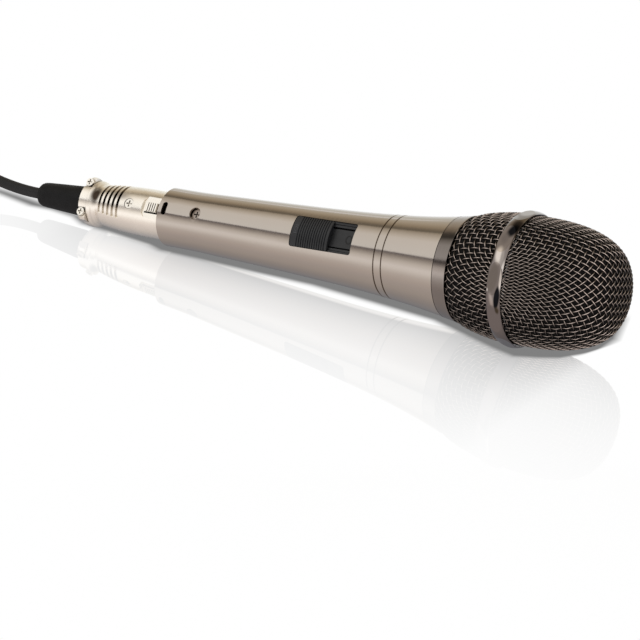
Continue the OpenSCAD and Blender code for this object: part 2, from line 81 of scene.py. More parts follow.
class Graph:
    """Short calls that build the node tree of a material or world from nothing."""

    def __init__(self, owner):
        owner.use_nodes = True
        self.tree = owner.node_tree
        self.tree.nodes.clear()

    def add(self, kind, inputs=None, **settings):
        node = self.tree.nodes.new(kind)
        for name, value in settings.items():
            setattr(node, name, value)
        for key, value in (inputs or {}).items():
            self.put(node, key, value)
        return node

    def put(self, node, key, value):
        socket = node.inputs[key]
        if isinstance(value, bpy.types.NodeSocket):
            self.tree.links.new(value, socket)
        else:
            socket.default_value = value

    def math(self, operation, *values, clamp=False):
        inputs = dict(enumerate(values))
        node = self.add("ShaderNodeMath", inputs, operation=operation, use_clamp=clamp)
        return node.outputs[0]

    def mix(self, factor, first, second, blend="MIX"):
        node = self.add("ShaderNodeMix", data_type="RGBA", blend_type=blend)
        for key, value in ((0, factor), (6, first), (7, second)):
            self.put(node, key, value)
        return node.outputs[2]

    def multiply(self, first, second):
        return self.mix(1.0, first, second, "MULTIPLY")

    def mix_shader(self, factor, first, second):
        return self.add("ShaderNodeMixShader", {0: factor, 1: first, 2: second}).outputs[0]

    def ramp(self, factor, stops, mode="LINEAR"):
        """stops are (position, colour)"""
        node = self.add("ShaderNodeValToRGB", {0: factor})
        node.color_ramp.interpolation = mode
        elements = node.color_ramp.elements
        while len(elements) > 1:
            elements.remove(elements[-1])
        for i, (position, color) in enumerate(stops):
            element = elements[0] if i == 0 else elements.new(position)
            element.position = position
            element.color = (*color, 1)
        return node.outputs[0]

    def remap(self, value, source, target, smooth=False):
        """carries the source range onto the target range, clamped at both ends"""
        inputs = {"Value": value, "From Min": source[0], "From Max": source[1],
                  "To Min": target[0], "To Max": target[1]}
        kind = "SMOOTHSTEP" if smooth else "LINEAR"
        return self.add("ShaderNodeMapRange", inputs, interpolation_type=kind).outputs[0]

    def object_point(self):
        return self.add("ShaderNodeTexCoord").outputs["Object"]

    def mapped(self, vector, **changes):
        return self.add("ShaderNodeMapping", {"Vector": vector, **changes}).outputs[0]

    def noise(self, vector, scale, detail=3, rough=0.55):
        inputs = {"Vector": vector, "Scale": scale, "Detail": detail, "Roughness": rough}
        return self.add("ShaderNodeTexNoise", inputs).outputs[0]

    def voronoi(self, vector, scale):
        inputs = {"Vector": vector, "Scale": scale}
        return self.add("ShaderNodeTexVoronoi", inputs).outputs["Distance"]

    def bands(self, vector, direction, scale, distortion=0.0):
        inputs = {"Vector": vector, "Scale": scale, "Distortion": distortion}
        node = self.add("ShaderNodeTexWave", inputs, wave_type="BANDS",
                        bands_direction=direction)
        return node.outputs[0]

    def bump(self, height, strength, distance, normal=None):
        inputs = {"Strength": strength, "Distance": distance, "Height": height}
        if normal is not None:
            inputs["Normal"] = normal
        return self.add("ShaderNodeBump", inputs).outputs[0]

    def separate(self, vector):
        return self.add("ShaderNodeSeparateXYZ", {0: vector}).outputs

    def radius(self, xyz):
        """distance from the microphone's axis"""
        squares = [self.math("MULTIPLY", xyz[i], xyz[i]) for i in (1, 2)]
        return self.math("SQRT", self.math("ADD", *squares))

    def azimuth(self, xyz):
        """angle about the axis, zero at +Z and growing toward -Y, in radians"""
        return self.math("ARCTAN2", self.math("MULTIPLY", xyz[1], -1.0), xyz[2])

    def turn(self, angle):
        """an angle of -180..180 degrees as 0..1"""
        return self.math("MULTIPLY_ADD", angle, 0.5 / math.pi, 0.5)

    def degree_ramp(self, turn, rows):
        """rows are (degrees, colour)"""
        return self.ramp(turn, [((degrees + 180) / 360, color) for degrees, color in rows])

    def grey_ramp(self, turn, rows):
        """rows are (degrees, grey level)"""
        return self.degree_ramp(turn, [(degrees, grey(level)) for degrees, level in rows])

    def principled(self, **inputs):
        """input names are written with underscores for spaces"""
        output = self.add("ShaderNodeOutputMaterial")
        named = {name.replace("_", " "): value for name, value in inputs.items()}
        shader = self.add("ShaderNodeBsdfPrincipled", named)
        self.put(output, 0, shader.outputs[0])


MATERIALS = {}  # every material made, by name


def new_material(name):
    """registers a material and returns it with its graph"""
    MATERIALS[name] = bpy.data.materials.new(name)
    return Graph(MATERIALS[name])


def mottled(graph, factor, color, amount):
    """slow drift between a darker and a lighter shade"""
    return graph.ramp(factor, [(0.3, scaled(color, 1 - amount)), (0.7, scaled(color, 1 + amount))])


# ---------------------------------------------------------------- metals
def painted_patches(graph, point, color, centre_mm, unit_mm, patches):
    """painted reflections and shade as soft elliptical patches; along the axis they are placed
    from centre_mm in unit_mm
    """
    xyz = graph.separate(point)
    degrees = graph.math("MULTIPLY", graph.azimuth(xyz), 180 / math.pi)
    offset = graph.math("SUBTRACT", xyz[0], centre_mm * MM)
    along = graph.math("MULTIPLY", offset, 1 / (unit_mm * MM))
    for azimuth, place, half_degrees, half_length, skew, softness, tint in patches:
        around = graph.math("SUBTRACT", degrees, azimuth)
        lean = graph.math("MULTIPLY", around, skew)
        forward = graph.math("SUBTRACT", graph.math("SUBTRACT", along, place), lean)
        squares = []
        for distance, half in ((around, half_degrees), (forward, half_length)):
            size = graph.math("ABSOLUTE", graph.math("DIVIDE", distance, half))
            squares.append(graph.math("POWER", size, 2.0))
        reach = graph.math("SQRT", graph.math("ADD", *squares))
        cover = graph.remap(reach, (1 - softness, 1 + softness * 0.5), (1.0, 0.0), smooth=True)
        color = graph.mix(cover, color, rgba(tint))
    return color


SHELL_RADIUS_MM = 9.2  # plug shell, at SHELL_X_MM
SHELL_X_MM = -20.0
SHELL_TAPER = 0.088  # growth of the radius with x
SLOT_DEPTH_MM = 0.3  # deeper than this below the shell counts as slot
# painted shade and reflection inside the plug's slots, by azimuth as (degrees, colour)
SLOT_PAINTED_LIGHT = [(0, (0.50, 0.44, 0.37)), (14, (0.40, 0.34, 0.28)), (28, (0.03, 0.024, 0.02)),
              (62, (0.03, 0.024, 0.02)), (72, (0.55, 0.50, 0.44)), (90, (0.8, 0.75, 0.68))]


def slot_shading(graph, point, color):
    """paints shade and reflection by azimuth into what lies below the tapered skin of the plug
    shell
    """
    xyz = graph.separate(point)
    base = (SHELL_RADIUS_MM - SHELL_TAPER * SHELL_X_MM - SLOT_DEPTH_MM) * MM
    level = graph.math("MULTIPLY_ADD", xyz[0], SHELL_TAPER, base)
    below = graph.math("SUBTRACT", level, graph.radius(xyz))
    start = graph.remap(xyz[0], (-0.0312, -0.0311), (0.0, 1.0))
    end = graph.remap(xyz[0], (-0.0199, -0.0198), (1.0, 0.0))
    inside = graph.math("MULTIPLY", start, end, clamp=True)
    deep = graph.remap(below, (-0.00012, 0.00012), (0.0, 1.0))
    cover = graph.math("MULTIPLY", deep, inside, clamp=True)
    turn = graph.turn(graph.azimuth(graph.separate(point)))
    return graph.mix(cover, color, graph.degree_ramp(turn, SLOT_PAINTED_LIGHT))


def metal(name, color, roughness, *, grain=0.0, brushed=0.0, mottle=0.05, stains=0.0,
          around=None, patches=None, cavity=0.0, only_local=True,
          cavity_tones=((0.25, 0.05), (0.6, 0.4), (0.88, 1.0)), slots=False):
    """Plated metal.

    grain, brushed: bump strength of the fine grain and of the turned lines
    mottle, stains: strength of the slow drift in colour and of the dark stains
    around: (degrees, grey) rows of painted reflection and shade by azimuth; patches: see
    painted_patches
    cavity: reach in metres of the painted shade in hollows, through (openness, grey) rows
    """
    graph = new_material(name)
    point = graph.object_point()
    col = mottled(graph, graph.noise(point, scale=55, detail=3, rough=0.6), color, mottle)
    rough = graph.remap(graph.noise(point, scale=240, detail=4, rough=0.7),
                        (0.3, 0.7), (roughness * 0.88, roughness * 1.14))
    normal = None
    if brushed:
        # noise drawn out around the axis, so it reads as lines left by turning
        xyz = graph.separate(point)
        angle = graph.math("ARCTAN2", xyz[2], xyz[1])
        drawn = graph.add("ShaderNodeCombineXYZ", {
            0: graph.math("MULTIPLY", xyz[0], 1.0),
            1: graph.math("MULTIPLY", angle, 0.0006),
            2: graph.math("MULTIPLY", graph.radius(xyz), 0.35)}).outputs[0]
        lines = graph.noise(drawn, scale=9000, detail=5, rough=0.75)
        normal = graph.bump(lines, strength=brushed, distance=0.00002)
        rough = graph.math("ADD", rough, graph.remap(lines, (0.3, 0.7), (-0.05, 0.06)))
        cover = graph.remap(lines, (0.35, 0.65), (0.0, 0.28))
        col = graph.mix(cover, col, rgba(scaled(color, 0.8)))
    if grain:
        fine = graph.noise(point, scale=5200, detail=3, rough=0.7)
        normal = graph.bump(fine, strength=grain, distance=0.00002, normal=normal)
    if stains:
        moved = graph.mapped(point, Location=(0.03, 0.01, 0.02))
        cover = graph.remap(graph.noise(moved, scale=620, detail=6, rough=0.75),
                            (0.62, 0.72), (0.0, stains))
        col = graph.mix(cover, col, rgba(scaled(color, 0.45)))
    if around is not None:
        turn = graph.turn(graph.azimuth(graph.separate(point)))
        col = graph.multiply(col, graph.grey_ramp(turn, around))
    if patches is not None:
        col = painted_patches(graph, point, col, *patches)
    if cavity:
        openness = graph.add("ShaderNodeAmbientOcclusion", {"Distance": cavity},
                             samples=6, only_local=only_local).outputs["AO"]
        # painted shade in hollows, turning slightly warm as it darkens
        tones = [(at, (level, level * 0.97, level * 0.94) if level < 1 else (1, 1, 1))
                 for at, level in cavity_tones]
        col = graph.multiply(col, graph.ramp(openness, tones))
    if slots:
        col = slot_shading(graph, point, col)
    inputs = {"Base_Color": col, "Metallic": 1.0, "Roughness": rough}
    if normal is not None:
        inputs["Normal"] = normal
    graph.principled(**inputs)


# ---------------------------------------------------------------- other materials
def plastic(name, color, roughness, grain=0.25, scale=2600, specular=0.5):
    """Moulded plastic or rubber; grain and scale are the strength and fineness of its texture."""
    graph = new_material(name)
    point = graph.object_point()
    fine = graph.noise(point, scale=scale, detail=4, rough=0.7)
    cells = graph.voronoi(point, scale * 0.45)
    height = graph.math("ADD", graph.math("MULTIPLY", fine, 0.7),
                        graph.math("MULTIPLY", cells, 0.5))
    cloud = graph.noise(point, scale=130, detail=4, rough=0.6)
    rough = graph.remap(graph.noise(point, scale=420, detail=3, rough=0.6),
                        (0.3, 0.7), (roughness * 0.9, roughness * 1.1))
    graph.principled(Base_Color=mottled(graph, cloud, color, 0.1), Roughness=rough,
                     Normal=graph.bump(height, strength=grain, distance=0.00004),
                     Specular_IOR_Level=specular)


def foam(name):
    graph = new_material(name)
    point = graph.object_point()
    cells = graph.voronoi(point, 1500)
    fine = graph.noise(point, scale=3000, detail=3, rough=0.7)
    height = graph.math("ADD", cells, graph.math("MULTIPLY", fine, 0.4))
    col = graph.ramp(cells, [(0.1, (0.0015, 0.0012, 0.0012)), (0.6, (0.006, 0.005, 0.005))])
    graph.principled(Base_Color=col, Roughness=0.95, Specular_IOR_Level=0.15,
                     Normal=graph.bump(height, strength=0.8, distance=0.0004))


# painted shade by azimuth on the two halves of the grille, as (degrees, grey)
REAR_WIRE_SHADE = [(-180, 1.0), (0, 1.0), (40, 0.92), (95, 0.85), (115, 0.62), (150, 0.6),
                   (175, 1.0)]
FRONT_WIRE_SHADE = [(-180, 1.0), (-20, 0.95), (30, 0.8), (60, 0.58), (120, 0.56), (160, 1.0)]


def grille_wire(name):
    """Painted highlight where a wire passes over, painted shade where it dives under and along its
    edges.
    """
    graph = new_material(name)
    point = graph.object_point()
    crest = graph.add("ShaderNodeAttribute", attribute_name="crest").outputs["Fac"]
    blur = graph.math("SUBTRACT", graph.noise(point, scale=1500, detail=3, rough=0.6), 0.5)
    crest = graph.math("ADD", crest, graph.math("MULTIPLY", blur, 0.25))
    # the wire's colour by its crest: painted highlight on top, painted shade in the dips
    col = graph.ramp(crest, [(0.05, (0.14, 0.118, 0.103)), (0.3, (0.34, 0.285, 0.25)),
                             (0.55, (0.60, 0.51, 0.455)), (0.85, (0.88, 0.755, 0.68))])
    # painted shade along the wire's edges, by how squarely it faces the view
    facing = graph.add("ShaderNodeLayerWeight", {"Blend": 0.5}).outputs["Facing"]
    edge = [(0.05, 1), (0.16, 0.66), (0.33, 0.18), (0.65, 0.03)]
    col = graph.multiply(col, graph.ramp(facing, [(at, grey(level)) for at, level in edge]))
    xyz = graph.separate(point)
    turn = graph.turn(graph.azimuth(xyz))
    # the front half gets a painted highlight toward its nose
    front = graph.mix(graph.remap(xyz[0], (0.176, 0.189), (0.0, 1.0)),
                      graph.grey_ramp(turn, FRONT_WIRE_SHADE), rgba((1.12, 1.1, 1.1)))
    shade = graph.mix(graph.math("GREATER_THAN", xyz[0], BAND_X_MM * MM),
                      graph.grey_ramp(turn, REAR_WIRE_SHADE), front)
    rough = graph.remap(graph.noise(point, scale=2600, detail=3, rough=0.6),
                        (0.3, 0.7), (0.22, 0.36))
    fine = graph.noise(point, scale=6000, detail=3, rough=0.7)
    graph.principled(Base_Color=graph.multiply(col, shade), Metallic=1.0, Roughness=rough,
                     Normal=graph.bump(fine, strength=0.25, distance=0.00002))


def circuit_board(name):
    graph = new_material(name)
    turned = graph.mapped(graph.object_point(), Rotation=(0, 0, 0.6))
    tracks = graph.bands(turned, "X", scale=260, distortion=6)
    col = graph.ramp(tracks, [(0.35, (0.02, 0.14, 0.07)), (0.5, (0.03, 0.22, 0.11)),
                              (0.62, (0.45, 0.32, 0.14))], "CONSTANT")
    graph.principled(Base_Color=col, Roughness=0.35,
                     Normal=graph.bump(tracks, strength=0.2, distance=0.00005))


def glass(name):
    graph = new_material(name)
    cloud = graph.noise(graph.object_point(), scale=500, detail=2)
    col = graph.ramp(cloud, [(0.3, (0.55, 0.68, 0.60)), (0.7, (0.70, 0.80, 0.72))])
    graph.principled(Base_Color=col, Roughness=0.08, Transmission_Weight=0.6)


def woven_cloth(name):
    graph = new_material(name)
    point = graph.object_point()
    height = graph.math("MAXIMUM", *[graph.bands(point, axis, scale=900) for axis in "YZ"])
    col = graph.ramp(height, [(0.2, (0.012, 0.012, 0.013)), (0.9, (0.05, 0.05, 0.055))])
    graph.principled(Base_Color=col, Roughness=0.9,
                     Normal=graph.bump(height, strength=0.5, distance=0.0001))


# ---------------------------------------------------------------- palette
# patches: azimuth in degrees, place along, half width in degrees, half length along,
# skew, softness, colour
# painted reflections and shade on the dark band
BAND_REFLECTIONS = [
    (-16, -0.1, 19, 1.3, 0.0, 0.25, (0.477, 0.450, 0.446)),
    (9, -0.8, 8, 0.6, 0.02, 0.5, (0.369, 0.354, 0.354)),
    (11, 0.7, 8, 0.7, 0.0, 0.7, (0.169, 0.138, 0.108)),
    (19, 0.7, 6, 0.9, 0.0, 0.6, (0.046, 0.038, 0.035)),
    (27, 0.45, 7.5, 0.75, -0.03, 0.5, (0.009, 0.009, 0.011)),
    (36, -0.15, 6, 0.6, 0.02, 0.7, (0.177, 0.154, 0.146)),
    (52, 0.05, 8, 0.58, 0.02, 0.55, (0.67, 0.60, 0.545)),
    (54, -0.85, 9, 0.28, 0.0, 0.5, (0.023, 0.017, 0.014)),
    (54, 0.55, 10, 0.25, 0.015, 0.8, (0.323, 0.285, 0.262)),
    (70, 0.92, 14, 0.2, 0.0, 0.5, (0.692, 0.631, 0.585)),
    (72, -0.2, 12, 0.7, -0.01, 0.25, (0.19, 0.163, 0.147)),
    (88, 0.62, 10.5, 0.36, -0.012, 0.25, (0.009, 0.009, 0.011)),
    (99, 0.62, 3.5, 0.3, 0.0, 0.6, (0.077, 0.058, 0.038)),
    (90, -0.1, 6, 0.3, 0.03, 0.7, (0.400, 0.346, 0.315)),
    (82, -0.78, 1.6, 0.14, 0.0, 0.6, (0.769, 0.731, 0.692)),
    (150, 0.2, 24, 1.6, 0.0, 0.8, (0.146, 0.131, 0.135)),
    (138, -0.7, 8, 0.4, 0.0, 0.8, (0.246, 0.238, 0.254)),
]
# painted dark reflections on the plug shell, at its neck and over its ribs
SHELL_REFLECTIONS = [
    (44, -0.7, 27, 2.0, 0.0, 0.6, (0.05, 0.036, 0.026)),
    (38, 10.5, 11, 5.5, 0.0, 0.9, (0.42, 0.38, 0.34)),
]
# painted reflections and shade on the collar by azimuth, as (degrees, grey)
COLLAR_REFLECTIONS = [
    (-180, 0.6), (-60, 0.8), (0, 0.95), (20, 1.0), (29, 0.85), (33.5, 0.2), (37, 0.1),
    (41, 0.33), (47, 0.54), (60, 0.62), (63.5, 0.6), (66, 0.36), (68.5, 0.6), (72, 0.95),
    (78, 1.0), (84, 0.76), (96, 0.66), (120, 0.78), (150, 0.55), (180, 0.6),
]

# cavity paints shade into hollows; around and patches paint reflections and shade
metal("satin_nickel", (0.492, 0.4385, 0.3885), 0.11, grain=0.05, mottle=0.012, cavity=0.002,
      cavity_tones=((0.2, 0.42), (0.55, 0.76), (0.85, 1.0)))
metal("collar_nickel", (0.385, 0.338, 0.308), 0.16, grain=0.04, brushed=0.3, mottle=0.03,
      around=COLLAR_REFLECTIONS)
metal("band_dark_chrome", (0.219, 0.1885, 0.177), 0.1, grain=0.03, mottle=0.03, stains=0.05,
      patches=(BAND_X_MM, 2.75, BAND_REFLECTIONS))
grille_wire("mesh_wire")
metal("steel", (0.50, 0.50, 0.51), 0.3, grain=0.2, brushed=0.2)
metal("magnet_metal", (0.62, 0.62, 0.64), 0.22, grain=0.1, mottle=0.06)
metal("bright_nickel", (0.96, 0.905, 0.82), 0.22, grain=0.05, mottle=0.03, stains=0.08,
      cavity=0.0016, only_local=False)
metal("shell_nickel", (0.94, 0.885, 0.80), 0.24, grain=0.05, mottle=0.03, stains=0.08,
      cavity=0.0013, only_local=False, cavity_tones=((0.12, 0.3), (0.4, 0.7), (0.65, 1.0)),
      patches=(-32.0, 1.0, SHELL_REFLECTIONS), slots=True)
metal("leaf_dark", (0.035, 0.03, 0.027), 0.5, grain=0.2)
metal("screw_steel", (0.92, 0.87, 0.79), 0.24, grain=0.1, mottle=0.08, stains=0.2,
      cavity=0.0009, only_local=False, cavity_tones=((0.15, 0.2), (0.45, 0.6), (0.8, 1.0)))
metal("contact_metal", (0.82, 0.76, 0.64), 0.2, grain=0.1)
plastic("black_plastic", (0.0085, 0.0087, 0.010), 0.45, grain=0.2)
plastic("slider_plastic", (0.0072, 0.0076, 0.0092), 0.42, grain=0.06, scale=4200)
plastic("boot_rubber", (0.0028, 0.0028, 0.0032), 0.6, scale=1800, specular=0.22)
# a darker copy of the screw steel: painted shade for the screw deep in its well
metal("shaded_screw_steel", (0.34, 0.29, 0.25), 0.3, grain=0.1, mottle=0.1, stains=0.2,
      cavity=0.0011, only_local=False)
foam("foam")
plastic("black_rubber", (0.0065, 0.0062, 0.0068), 0.55, grain=0.3, scale=1800, specular=0.35)
circuit_board("board")
glass("reed_glass")
metal("copper", (0.78, 0.42, 0.25), 0.25, grain=0.2, brushed=0.4)
plastic("film", (0.55, 0.50, 0.36), 0.2, grain=0.1)
metal("brass", (0.72, 0.58, 0.30), 0.25, grain=0.15, brushed=0.2)
plastic("lead_red", (0.45, 0.03, 0.025), 0.4, grain=0.15)
plastic("lead_white", (0.70, 0.68, 0.62), 0.4, grain=0.15)
woven_cloth("cloth")

# a piece takes the material of its slot unless it is named here
OWN_MATERIAL = {
    "acoustic_cloth": "cloth",
    "plug_shell": "shell_nickel",
    "latch_leaf": "leaf_dark",
    "switch_slider": "slider_plastic",
    "cable_boot": "boot_rubber",
    "insert_screw": "shaded_screw_steel",
}
slot_of = {part["node"]: part["material_slot"]
           for part in frame["record"].get("subparts", []) if part.get("material_slot")}
for name, piece in frame["nodes"].items():
    piece.data.materials.clear()
    piece.data.materials.append(MATERIALS[OWN_MATERIAL.get(name, slot_of.get(name))])


# ---------------------------------------------------------------- mesh helper
def make_piece(name, vertices, faces, material, body=None, smooth=True):
    mesh = bpy.data.meshes.new(name)
    mesh.from_pydata([tuple(vertex) for vertex in vertices], [], faces)
    mesh.update()
    piece = bpy.data.objects.new(name, mesh)
    scene.collection.objects.link(piece)
    if smooth:
        mesh.polygons.foreach_set("use_smooth", [True] * len(mesh.polygons))
    mesh.materials.append(MATERIALS[material])
    if body:
        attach(piece, body)
    return piece


# ---------------------------------------------------------------- woven grille, in mm
class Surface:
    """Surface of revolution about X that the wires lie on.

    The outline runs from the pole as (radius, x) and is moved inward by inset. A point is
    given by arc, its distance from the pole along the outline, and angle, from +Y toward +Z.
    side is 1 if the pole is the high x end and -1 if it is the low x end.
    """

    def __init__(self, outline, inset, side, step=0.05):
        tangent = np.gradient(outline, axis=0)
        tangent /= np.linalg.norm(tangent, axis=1)[:, None] + 1e-12
        outline = outline - np.stack([-tangent[:, 1], tangent[:, 0]], 1) * side * inset
        outline[0, 0] = 0.0
        along = np.r_[0, np.cumsum(np.linalg.norm(np.diff(outline, axis=0), axis=1))]
        self.side = side
        self.arc = np.arange(0, along[-1], step)
        self.r = np.interp(self.arc, along, outline[:, 0])
        self.x = np.interp(self.arc, along, outline[:, 1])
        self.length = self.arc[-1]

    def radius_and_x(self, arc):
        return np.interp(arc, self.arc, self.r), np.interp(arc, self.arc, self.x)

    def point(self, arc, angle):
        r, x = self.radius_and_x(np.abs(arc))
        return np.stack([x, r * np.cos(angle), r * np.sin(angle)], -1)

    def normal(self, arc, angle, reach=0.15):
        r_after, x_after = self.radius_and_x(arc + reach)
        r_before, x_before = self.radius_and_x(np.maximum(arc - reach, 0))
        dr, dx = r_after - r_before, x_after - x_before
        normal = np.stack([dr, -dx * np.cos(angle), -dx * np.sin(angle)], -1) * self.side
        return normal / np.linalg.norm(normal, axis=-1)[..., None]


def next_on_seam(surface, arc, pitch):
    """arc of the point one pitch further from the pole, or None past the rim"""
    start = surface.point(arc, 0.0)
    low, high = arc, min(arc + 2.5 * pitch, surface.length)
    if np.linalg.norm(surface.point(high, 0.0) - start) < pitch:
        return None
    for _ in range(40):
        middle = (low + high) / 2
        if np.linalg.norm(surface.point(middle, 0.0) - start) < pitch:
            low = middle
        else:
            high = middle
    return (low + high) / 2


def fourth_corner(surface, first, second, opposite, pitch):
    """arc and angle of the crossing one pitch from first and second, by Newton's method"""
    guess = first + second - opposite
    angle = math.atan2(guess[2], guess[1])
    gap = (surface.r - math.hypot(guess[1], guess[2])) ** 2 + (surface.x - guess[0]) ** 2
    arc = surface.arc[np.argmin(gap)]
    h = 1e-3
    for _ in range(14):
        here = surface.point(arc, angle)
        spans = [here - first, here - second]
        lengths = [np.linalg.norm(span) for span in spans]
        error = np.array([length - pitch for length in lengths])
        if np.abs(error).max() < 1e-5:
            break
        by_arc = (surface.point(arc + h, angle) - surface.point(arc - h, angle)) / (2 * h)
        by_angle = (surface.point(arc, angle + h) - surface.point(arc, angle - h)) / (2 * h)
        slopes = np.array([[span / length @ by_arc, span / length @ by_angle]
                           for span, length in zip(spans, lengths)])
        if abs(np.linalg.det(slopes)) < 1e-6:
            break
        step = np.linalg.solve(slopes, error)
        arc -= float(np.clip(step[0], -1.5, 1.5))
        angle -= float(np.clip(step[1], -0.3, 0.3))
    if np.abs(error).max() > 0.02 or arc > surface.length - 0.1 or arc < 0:
        return None
    return arc, angle


def drape(surface, pitch, count):
    """arcs and angles of a square weave laid over one quarter of the surface; nan if none"""
    arcs = np.full((count, count), np.nan)
    angles = np.full((count, count), np.nan)
    arcs[0, 0] = angles[0, 0] = 0.0
    arc = 0.0
    for i in range(1, count):
        arc = next_on_seam(surface, arc, pitch)
        if arc is None:
            break
        arcs[i, 0], angles[i, 0] = arc, 0.0
        arcs[0, i], angles[0, i] = arc, math.pi / 2
    for diagonal in range(2, 2 * count):
        for i in range(1, diagonal):
            j = diagonal - i
            if i >= count or j >= count:
                continue
            if np.isnan(arcs[i - 1, j]) or np.isnan(arcs[i, j - 1]):
                continue
            corners = [surface.point(arcs[at], angles[at])
                       for at in ((i - 1, j), (i, j - 1), (i - 1, j - 1))]
            found = fourth_corner(surface, *corners, pitch)
            if found:
                arcs[i, j], angles[i, j] = found
    return arcs, angles


CONTACT_WEIGHT = 3.0  # pull of crossings that are too close, against 1 for the pitch
SEAM_WEIGHT = 0.6  # pull that squares the wires to the seams between quarters


def settle(surface, arcs, angles, pitch, closest, stiffness):
    """lets the weave lock: wires keep their pitch and bend little, crossings stay apart"""
    known = ~np.isnan(arcs)
    arc, angle = np.where(known, arcs, 0.0), np.where(known, angles, 0.0)
    every, low, high = slice(None), slice(None, -1), slice(1, None)
    # first end, second end, length, weight, whether it only pushes apart
    links = [((low, every), (high, every), pitch, 1.0, False),
             ((every, low), (every, high), pitch, 1.0, False),
             ((low, low), (high, high), closest, CONTACT_WEIGHT, True),
             ((high, low), (low, high), closest, CONTACT_WEIGHT, True)]
    both_ways = (known, known.T)
    triples = [present[2:] & present[1:-1] & present[:-2] for present in both_ways]
    seams = [present[0] & present[1] for present in both_ways]
    flattened = (np.array([1, 0, 1]), np.array([1, 1, 0]))  # onto each seam's plane
    symmetric = known & known.T
    r_slope = np.gradient(surface.r, surface.arc)
    x_slope = np.gradient(surface.x, surface.arc)
    for _ in range(1800):
        r, x = surface.radius_and_x(arc)
        cosine, sine = np.cos(angle), np.sin(angle)
        point = np.stack([x, r * cosine, r * sine], -1)
        move = np.zeros_like(point)
        total = np.full(arc.shape, 1e-6)
        for first, second, rest, weight, pushes in links:
            span = point[second] - point[first]
            length = np.sqrt((span * span).sum(-1)) + 1e-9
            active = known[first] & known[second]
            if pushes:
                active = active & (length < rest)
            share = np.where(active, weight * 0.5 * (length - rest) / length, 0.0)
            pull = share[..., None] * span
            move[first] += pull
            move[second] -= pull
            total[first] += weight * active
            total[second] += weight * active
        views = [(point, move, total),
                 (point.swapaxes(0, 1), move.swapaxes(0, 1), total.T)]
        for (points, moves, totals), triple in zip(views, triples):
            bend = (points[2:] + points[:-2]) / 2 - points[1:-1]
            moves[1:-1] += stiffness * 0.5 * np.where(triple[..., None], bend, 0)
            totals[1:-1] += stiffness * triple
        for (points, moves, totals), seam, flat in zip(views, seams, flattened):
            moves[0] += SEAM_WEIGHT * np.where(seam[:, None], points[1] * flat - points[0], 0)
            totals[0] += SEAM_WEIGHT * seam
        move /= total[..., None]
        outward = move[..., 1] * cosine + move[..., 2] * sine
        arc_step = (move[..., 0] * np.interp(arc, surface.arc, x_slope)
                    + outward * np.interp(arc, surface.arc, r_slope))
        arc = np.clip(arc + arc_step, 0, surface.length - 0.01)
        sideways = -move[..., 1] * sine + move[..., 2] * cosine
        angle = angle + sideways / np.maximum(r, 0.3)
        # the quarter stays its own mirror image
        arc = np.where(symmetric, (arc + arc.T) / 2, arc)
        angle = np.where(symmetric, (angle + math.pi / 2 - angle.T) / 2, angle)
        angle[:, 0] = 0
        angle[0, :] = math.pi / 2
        arc[0, 0] = 0
    return np.where(known, arc, np.nan), np.where(known, angle, np.nan)


def mirrored(arcs, angles):
    """the crossings of all four quarters, by (column, row)"""
    reach = range(-len(arcs) + 1, len(arcs))
    crossings = {}
    for i in reach:
        for j in reach:
            arc, angle = arcs[abs(i), abs(j)], angles[abs(i), abs(j)]
            if np.isnan(arc):
                continue
            if i < 0:
                angle = math.pi - angle
            if j < 0:
                angle = -angle
            crossings[i, j] = (arc, angle)
    return crossings


def wavy_wire(base, normals, over, height, pieces=4):
    """a smooth curve through the crossings that rises and dips by height; the last column
    runs from -1 under to 1 over"""
    last = len(base) - 1
    rows = []
    for i in range(last):
        p0, p1, p2, p3 = base[max(i - 1, 0)], base[i], base[i + 1], base[min(i + 2, last)]
        for piece in range(pieces):
            t = piece / pieces
            centre = 0.5 * ((2 * p1) + (-p0 + p2) * t + (2 * p0 - 5 * p1 + 4 * p2 - p3) * t * t
                            + (-p0 + 3 * p1 - 3 * p2 + p3) * t**3)
            normal = normals[i] * (1 - t) + normals[i + 1] * t
            normal /= np.linalg.norm(normal)
            lift = over[i] * math.cos(math.pi * t)
            rows.append([*(centre + normal * height * lift), lift])
    rows.append([*(base[-1] + normals[-1] * height * over[-1]), over[-1]])
    return np.array(rows)


def weave_wires(surface, arcs, angles, turn, height, keep):
    """the wires of both families, cut to the part where keep(x, radius) holds"""
    crossings = mirrored(arcs, angles)
    reach = range(-len(arcs) + 1, len(arcs))
    families = ([], [])
    for family, wires in enumerate(families):
        for row in reach:
            keys = [(step, row) if family == 0 else (row, step) for step in reach]
            for present, group in groupby(keys, key=crossings.__contains__):
                run = list(group)
                if not present or len(run) <= 2:
                    continue
                places = [(crossings[key][0], crossings[key][1] + turn) for key in run]
                base = np.array([surface.point(*place) for place in places])
                normals = np.array([surface.normal(*place) for place in places])
                over = [1.0 if sum(key) % 2 == family else -1.0 for key in run]
                wire = wavy_wire(base, normals, over, height)
                kept = keep(wire[:, 0], np.hypot(wire[:, 1], wire[:, 2]))
                ends = np.flatnonzero(np.diff(np.r_[0, kept, 0])).reshape(-1, 2)
                wires.extend(wire[start:end] for start, end in ends if end - start > 3)
    return families


